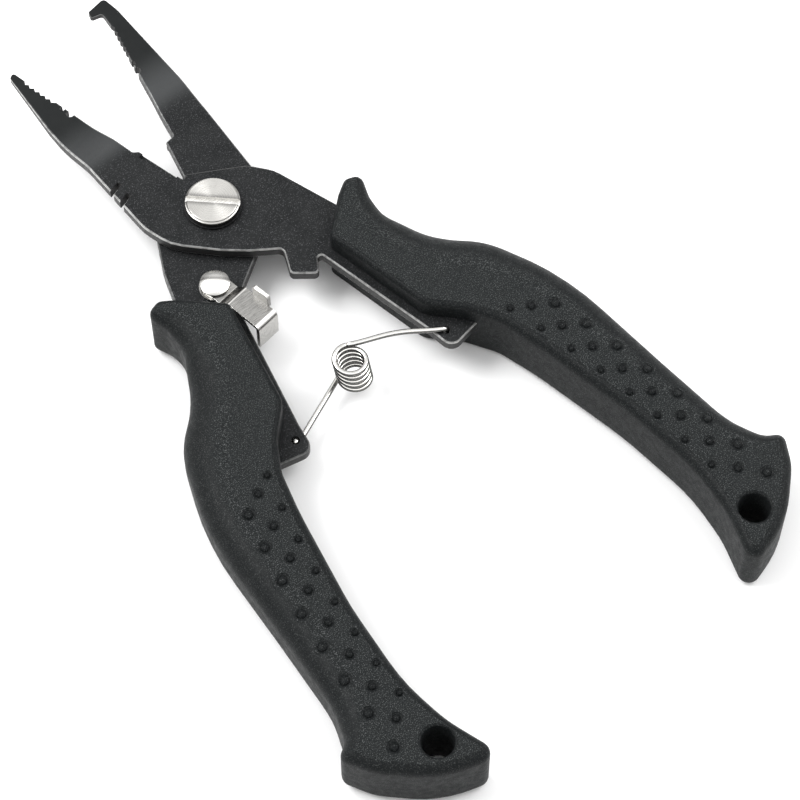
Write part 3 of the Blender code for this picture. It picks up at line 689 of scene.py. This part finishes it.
class Finish:
    """A material's node tree round its Principled shader, with its textures laid out in millimetres."""

    def __init__(self, name, colour, roughness, metallic, **sockets):
        self.material = bpy.data.materials.new(name)
        self.material.use_nodes = True
        self.tree = self.material.node_tree
        self.shader = self.tree.nodes["Principled BSDF"]
        self.set(self.shader, {"Base Color": (*colour, 1), "Roughness": roughness, "Metallic": metallic})
        self.set(self.shader, sockets)
        coordinates = self.add("ShaderNodeTexCoord").outputs["Object"]
        self.position = self.vector("MULTIPLY", coordinates, (1 / MM,) * 3)
        self.normal = self.add("ShaderNodeTexCoord").outputs["Normal"]
        self.up = self.math("ABSOLUTE", self.add("ShaderNodeSeparateXYZ", {0: self.normal}).outputs["Z"])

    def set(self, node, inputs):
        for key, value in inputs.items():
            socket = node.inputs[key]
            if isinstance(value, bpy.types.NodeSocket):
                self.tree.links.new(value, socket)
            else:
                socket.default_value = value

    def add(self, kind, inputs=None, **settings):
        node = self.tree.nodes.new(kind)
        for key, value in settings.items():
            setattr(node, key, value)
        self.set(node, inputs or {})
        return node

    def math(self, operation, *values):
        return self.add("ShaderNodeMath", dict(enumerate(values)), operation=operation).outputs[0]

    def vector(self, operation, *values):
        return self.add("ShaderNodeVectorMath", dict(enumerate(values)), operation=operation).outputs[0]

    def along(self, vector, direction):
        """How far a vector goes along a direction."""
        node = self.add("ShaderNodeVectorMath", {0: vector, 1: direction}, operation="DOT_PRODUCT")
        return node.outputs["Value"]

    def range(self, value, low, high, to_low=0.0, to_high=1.0):
        inputs = {"Value": value, "From Min": low, "From Max": high, "To Min": to_low, "To Max": to_high}
        return self.add("ShaderNodeMapRange", inputs, interpolation_type="SMOOTHSTEP").outputs["Result"]

    def stretched(self, scale, angle=0.0):
        inputs = {"Vector": self.position, "Rotation": (0, 0, math.radians(angle)), "Scale": scale}
        return self.add("ShaderNodeMapping", inputs).outputs[0]

    def noise(self, scale, detail=3.0, vector=None, roughness=0.55):
        inputs = {"Vector": vector or self.position, "Scale": scale, "Detail": detail, "Roughness": roughness}
        return self.add("ShaderNodeTexNoise", inputs).outputs["Fac"]

    def cells(self, scale, vector=None):
        inputs = {"Vector": vector or self.position, "Scale": scale}
        return self.add("ShaderNodeTexVoronoi", inputs).outputs["Distance"]

    def mix(self, share, first, second):
        colours = [(*c, 1) if isinstance(c, tuple) else c for c in (first, second)]
        inputs = {0: share, 6: colours[0], 7: colours[1]}
        return self.add("ShaderNodeMix", inputs, data_type="RGBA").outputs[2]

    def bump(self, height, strength, distance, normal=None):
        inputs = {"Height": height, "Strength": strength, "Distance": distance * MM}
        if normal:
            inputs["Normal"] = normal
        return self.add("ShaderNodeBump", inputs).outputs[0]

    def use(self, **sockets):
        names = {"colour": "Base Color", "roughness": "Roughness", "normal": "Normal", "metallic": "Metallic"}
        self.set(self.shader, {names[key]: value for key, value in sockets.items()})


def grip_finish():
    """Matt black elastomer: a pebbled grain on the flats, and smooth satin round the rims and walls."""
    made = Finish("grip_moulded_elastomer", (0.014, 0.016, 0.0165), 0.5, 0.0, **{"Specular IOR Level": 0.10})
    flat = made.range(made.up, 0.93, 0.995)
    grain = made.cells(3.2)
    fine = made.noise(5.5, 2.0)
    patch = made.noise(0.16, 3.0)
    colour = made.mix(flat, (0.0070, 0.0082, 0.0086), (0.0112, 0.0130, 0.0134))
    colour = made.mix(made.range(patch, 0.35, 0.75, 0.0, 0.5), colour, (0.0095, 0.0108, 0.0112))
    speck = made.math("MULTIPLY", made.range(fine, 0.54, 0.68), made.range(flat, 0.0, 1.0, 0.4, 1.0))
    colour = made.mix(speck, colour, (0.10, 0.105, 0.105))
    worn = made.math("MULTIPLY", made.range(made.up, 0.5, 0.85), made.range(made.up, 0.995, 0.9))
    worn = made.math("MULTIPLY", worn, made.range(made.noise(1.1, 4.0), 0.5, 0.8, 0.0, 0.12))
    colour = made.mix(worn, colour, (0.03, 0.032, 0.033))
    roughness = made.range(made.noise(0.8, 4.0), 0.3, 0.7, 0.42, 0.56)
    height = made.math("MULTIPLY", made.math("ADD", grain, made.math("MULTIPLY", fine, 1.2)), flat)
    height = made.math("ADD", height, made.math("MULTIPLY", made.noise(9.0, 2.0), 0.15))
    made.use(colour=colour, roughness=roughness, normal=made.bump(height, 0.8, 0.16))
    return made.material


def plate_finish(name, rim_wear_and_highlight, band):
    """Blackened stainless sheet: speckled flats, grey sheared walls, and rims painted bright, partly as rubbed
    wear and partly as a painted highlight that is strongest on rims facing the tails.

    The jaw is ground smooth past the height of band, from the pivot towards its tip, and just past there it
    carries a band of painted highlight.
    """
    made = Finish(name, (0.05, 0.052, 0.054), 0.45, 0.6, **{"Specular IOR Level": 0.22})
    flat = made.range(made.up, 0.9, 0.98)
    fine = made.noise(4.6, 3.0)
    patch = made.noise(0.25, 3.0)
    colour = made.mix(made.range(patch, 0.3, 0.7), (0.0115, 0.0125, 0.0130), (0.0165, 0.0175, 0.0180))
    from_pivot = made.math("SUBTRACT", made.along(made.position, (0.0, 1.0, 0.0)), PIVOT.y)
    ground = made.range(from_pivot, band - 5, band)
    speck = made.math("MULTIPLY", made.range(fine, 0.53, 0.74), made.math("SUBTRACT", 1.0, ground))
    colour = made.mix(speck, colour, (0.085, 0.085, 0.09))
    # Painted highlight: a lighter band across the jaw, fading out within 10 mm past the height of band
    jaw_highlight_band = made.math("MULTIPLY", ground, made.range(from_pivot, band + 10, band + 1, 0.0, 0.55))
    colour = made.mix(made.math("MULTIPLY", ground, 0.6), colour, (0.014, 0.0155, 0.0155))
    colour = made.mix(jaw_highlight_band, colour, (0.085, 0.088, 0.09))
    colour = made.mix(made.range(made.up, 0.5, 0.1), colour, (0.045, 0.045, 0.045))
    # The rims are painted bright, partly as rubbed wear and partly as a painted highlight: rims that face the
    # tails, towards the camera, get the most
    highlight_side = made.along(made.normal, TOWARDS_TAILS)
    rim = made.math("MULTIPLY", made.range(made.up, 0.2, 0.5), made.range(made.up, 0.97, 0.85))
    rim = made.math("MULTIPLY", rim, made.range(made.noise(0.9, 4.0), 0.32, 0.6, 0.5, 1.0))
    rim = made.math("MULTIPLY", rim, made.range(highlight_side, -0.1, 0.6, 0.26, rim_wear_and_highlight))
    colour = made.mix(rim, colour, (0.8, 0.8, 0.78))
    roughness = made.range(made.noise(1.4, 4.0), 0.3, 0.7, 0.38, 0.54)
    height = made.math("MULTIPLY", fine, flat)
    height = made.math("ADD", height, made.math("MULTIPLY", made.noise(12.0, 2.0), 0.3))
    made.use(colour=colour, roughness=roughness, normal=made.bump(height, 0.5, 0.06))
    return made.material


def bright_finish(name, grain_angle=0.0, roughness=0.26, wear=0.35, tone=1.0):
    """Bright stainless with a fine brushed grain along one direction and faint handling marks."""
    made = Finish(name, (0.62, 0.61, 0.58), roughness, 1.0)
    grain = made.noise(1.0, 3.0, made.stretched((0.6, 9.0, 9.0), grain_angle))
    patch = made.noise(0.7, 4.0)
    # tone scales the whole colour: the screw's slot uses it above 1 as a painted highlight, and its head's side
    # at 0.12 as painted shade
    dark, light, mark = ([tone * share * c for c in (1.0, 0.985, 0.95)] for share in (0.50, 0.70, 0.30))
    colour = made.mix(made.range(grain, 0.35, 0.7), tuple(dark), tuple(light))
    colour = made.mix(made.range(patch, 0.55, 0.8, 0.0, wear), colour, tuple(mark))
    rough = made.range(grain, 0.3, 0.7, roughness - 0.06, roughness + 0.1)
    made.use(colour=colour, roughness=rough, normal=made.bump(grain, 0.12, 0.04))
    return made.material


def painted_light_finish(name, direction, stops, grain_angle, roughness):
    """Bright stainless with painted highlight and shade, set by how far its surface leans along a direction.

    The stops are pairs of lean, from -1 to 1, and brightness.
    """
    made = Finish(name, (0.62, 0.61, 0.58), roughness, 1.0)
    # The ramp paints highlight and shade into the colour by the surface's lean; the grain and handling marks
    # below are the steel's own
    share = made.math("MULTIPLY_ADD", made.along(made.normal, direction), 0.5, 0.5)
    ramp = made.add("ShaderNodeValToRGB", {"Fac": share})
    points = ramp.color_ramp.elements
    while len(points) < len(stops):
        points.new(0.5)
    for point, (at, tone) in zip(points, stops):
        point.position = at * 0.5 + 0.5
        point.color = (tone, tone * 0.985, tone * 0.95, 1)
    grain = made.noise(1.0, 3.0, made.stretched((0.6, 9.0, 9.0), grain_angle))
    mark = made.range(made.noise(0.9, 4.0), 0.55, 0.8, 0.0, 0.3)
    colour = made.mix(made.range(grain, 0.3, 0.75, 0.0, 0.25), ramp.outputs["Color"], (0.75, 0.74, 0.71))
    colour = made.mix(mark, colour, (0.22, 0.215, 0.20))
    rough = made.range(grain, 0.3, 0.7, roughness - 0.05, roughness + 0.08)
    made.use(colour=colour, roughness=rough, normal=made.bump(grain, 0.08, 0.04))
    return made.material


def turned_finish():
    """The screw's lathe-turned face: fine rings about its axis."""
    made = Finish("screw_turned_steel", (0.66, 0.65, 0.62), 0.3, 1.0, Anisotropic=0.75)
    centre = made.vector("SUBTRACT", made.position, tuple(PIVOT))
    flat = made.vector("MULTIPLY", centre, (1, 1, 0))
    reach = made.add("ShaderNodeVectorMath", {0: flat}, operation="LENGTH").outputs["Value"]
    rings = made.noise(9.0, 2.0, made.add("ShaderNodeCombineXYZ", {0: reach}).outputs[0])
    colour = made.mix(made.range(rings, 0.35, 0.7), (0.50, 0.49, 0.47), (0.62, 0.61, 0.58))
    colour = made.mix(made.range(made.noise(1.2, 4.0), 0.55, 0.8, 0.0, 0.4), colour, (0.34, 0.33, 0.31))
    # Painted shade on the head's face either side of the slot
    slot_turn = math.radians(SCREW_SLOT_ANGLE)
    across = made.along(flat, (-math.sin(slot_turn), math.cos(slot_turn), 0))
    slot_side_shade = made.range(made.math("ABSOLUTE", across), 1.7, 0.6, 0.0, 0.75)
    colour = made.mix(slot_side_shade, colour, (0.20, 0.195, 0.19))
    roughness = made.range(rings, 0.3, 0.7, 0.22, 0.36)
    made.use(colour=colour, roughness=roughness, normal=made.bump(rings, 0.06, 0.05))
    made.set(made.shader, {"Tangent": made.vector("CROSS_PRODUCT", flat, UP)})
    return made.material


def washer_finish():
    """Black oxide, rubbed grey where it is handled."""
    made = Finish("washer_black_oxide", (0.014, 0.014, 0.015), 0.42, 0.6)
    rub = made.range(made.noise(2.0, 4.0), 0.5, 0.75, 0.0, 0.5)
    colour = made.mix(rub, (0.012, 0.012, 0.013), (0.06, 0.06, 0.062))
    roughness = made.range(made.noise(3.0, 3.0), 0.3, 0.7, 0.35, 0.5)
    made.use(colour=colour, roughness=roughness, normal=made.bump(made.noise(7.0), 0.2, 0.04))
    return made.material


def floor_finish():
    made = Finish("floor_pale", (0.86, 0.86, 0.86), 0.7, 0.0, **{"Specular IOR Level": 0.2})
    tone = made.mix(made.noise(0.01, 3.0), (0.925, 0.925, 0.925), (0.935, 0.935, 0.935))
    made.use(colour=tone)
    return made.material


def paint(node, finish):
    """Gives a CAD node its finish."""
    target = frame["nodes"][node]
    for slot in target.material_slots:
        slot.material = finish


# Scene

def camera():
    turn = math.radians(CAMERA_AZIMUTH)
    rise = math.radians(CAMERA_ELEVATION)
    target = place(*CAMERA_TARGET)
    back = Vector((-math.sin(turn) * math.cos(rise), -math.cos(turn) * math.cos(rise), math.sin(rise)))
    data = bpy.data.cameras.new("camera")
    data.lens = CAMERA_LENS
    data.sensor_width = 36
    data.clip_start = 0.01
    data.clip_end = 20
    made = bpy.data.objects.new("camera", data)
    made.location = target + back * CAMERA_DISTANCE * MM
    made.rotation_euler = back.to_track_quat("Z", "Y").to_euler()
    bpy.context.scene.collection.objects.link(made)
    bpy.context.scene.camera = made


def softbox(name, location, size, power, aim=(0.0, -0.01, 0.0)):
    data = bpy.data.lights.new(name, "AREA")
    data.shape = "RECTANGLE"
    data.size, data.size_y = size
    data.energy = power
    made = bpy.data.objects.new(name, data)
    made.location = location
    made.rotation_euler = (Vector(location) - Vector(aim)).to_track_quat("Z", "Y").to_euler()
    bpy.context.scene.collection.objects.link(made)


def studio_sky():
    """A white world, brighter overhead than near the horizon."""
    world = bpy.data.worlds.new("studio")
    world.use_nodes = True
    sky = world.node_tree
    background = sky.nodes["Background"]
    background.inputs["Color"].default_value = (1, 1, 1, 1)
    direction = sky.nodes.new("ShaderNodeSeparateXYZ")
    shade = sky.nodes.new("ShaderNodeMapRange")
    shade.interpolation_type = "SMOOTHSTEP"
    for name, value in (("From Min", 0.30), ("From Max", 0.75), ("To Min", 0.35), ("To Max", 1.25)):
        shade.inputs[name].default_value = value
    sky.links.new(sky.nodes.new("ShaderNodeTexCoord").outputs["Generated"], direction.inputs[0])
    sky.links.new(direction.outputs["Z"], shade.inputs["Value"])
    sky.links.new(shade.outputs["Result"], background.inputs["Strength"])
    return world


def studio():
    """A plain pale floor under soft light."""
    mesh = bmesh.new()
    bmesh.ops.create_grid(mesh, x_segments=1, y_segments=1, size=3.0)
    floor = add_mesh("floor", mesh)
    floor.location.z = (GRIP_BOTTOM - 0.05) * MM
    floor.data.materials.append(floor_finish())
    bpy.context.scene.world = studio_sky()
    softbox("key", (-0.35, 0.45, 0.75), (0.6, 0.4), 7.0)
    softbox("fill", (0.55, -0.2, 0.6), (0.4, 0.6), 3.0)
    bpy.context.scene.view_settings.view_transform = "Standard"
    bpy.context.scene.view_settings.look = "None"


paint("front_lever_plate", plate_finish("front_plate_blackened_steel", 0.9, 24))
paint("back_lever_plate", plate_finish("back_plate_blackened_steel", 0.25, 29))
paint("pivot_washer", washer_finish())
paint("pivot_nut", bright_finish("nut_bright_steel", 30, 0.3))
# The rivet's dome gets a painted highlight and a painted dark band of reflection, by how far it leans away from
# the camera
rivet(painted_light_finish("rivet_steel_painted_shading", AWAY_FROM_TAILS, RIVET_PAINTED_SHADING, 10, 0.2))
paint("latch_washer", bright_finish("latch_washer_steel", 10, 0.25, 0.4, 0.6))
grips(grip_finish())
# The screw's slot gets a painted highlight and its head's side painted shade, as lit and shaded copies of
# bright steel
screw(
    turned_finish(),
    bright_finish("screw_slot_painted_highlight", SCREW_SLOT_ANGLE, 0.3, 0.1, 1.3),
    bright_finish("screw_side_painted_shade", 0, 0.4, 0.5, 0.12),
)
# The latch gets a painted highlight on its bends and painted shade on its riser and lip. Its thumb tab gets a
# painted highlight on top and painted shade on its sides
latch(
    painted_light_finish("latch_brushed_steel_painted_shading", AWAY_FROM_TAILS, LATCH_PAINTED_SHADING, LATCH_ANGLE, 0.28),
    painted_light_finish("thumb_tab_steel_painted_shading", UP, TAB_PAINTED_SHADING, LATCH_ANGLE, 0.3),
)
# The spring wire gets a painted highlight along its top and painted shade on its sides and underside
return_spring(painted_light_finish("spring_wire_painted_shading", UP, WIRE_PAINTED_SHADING, 0, 0.2))
camera()
studio()
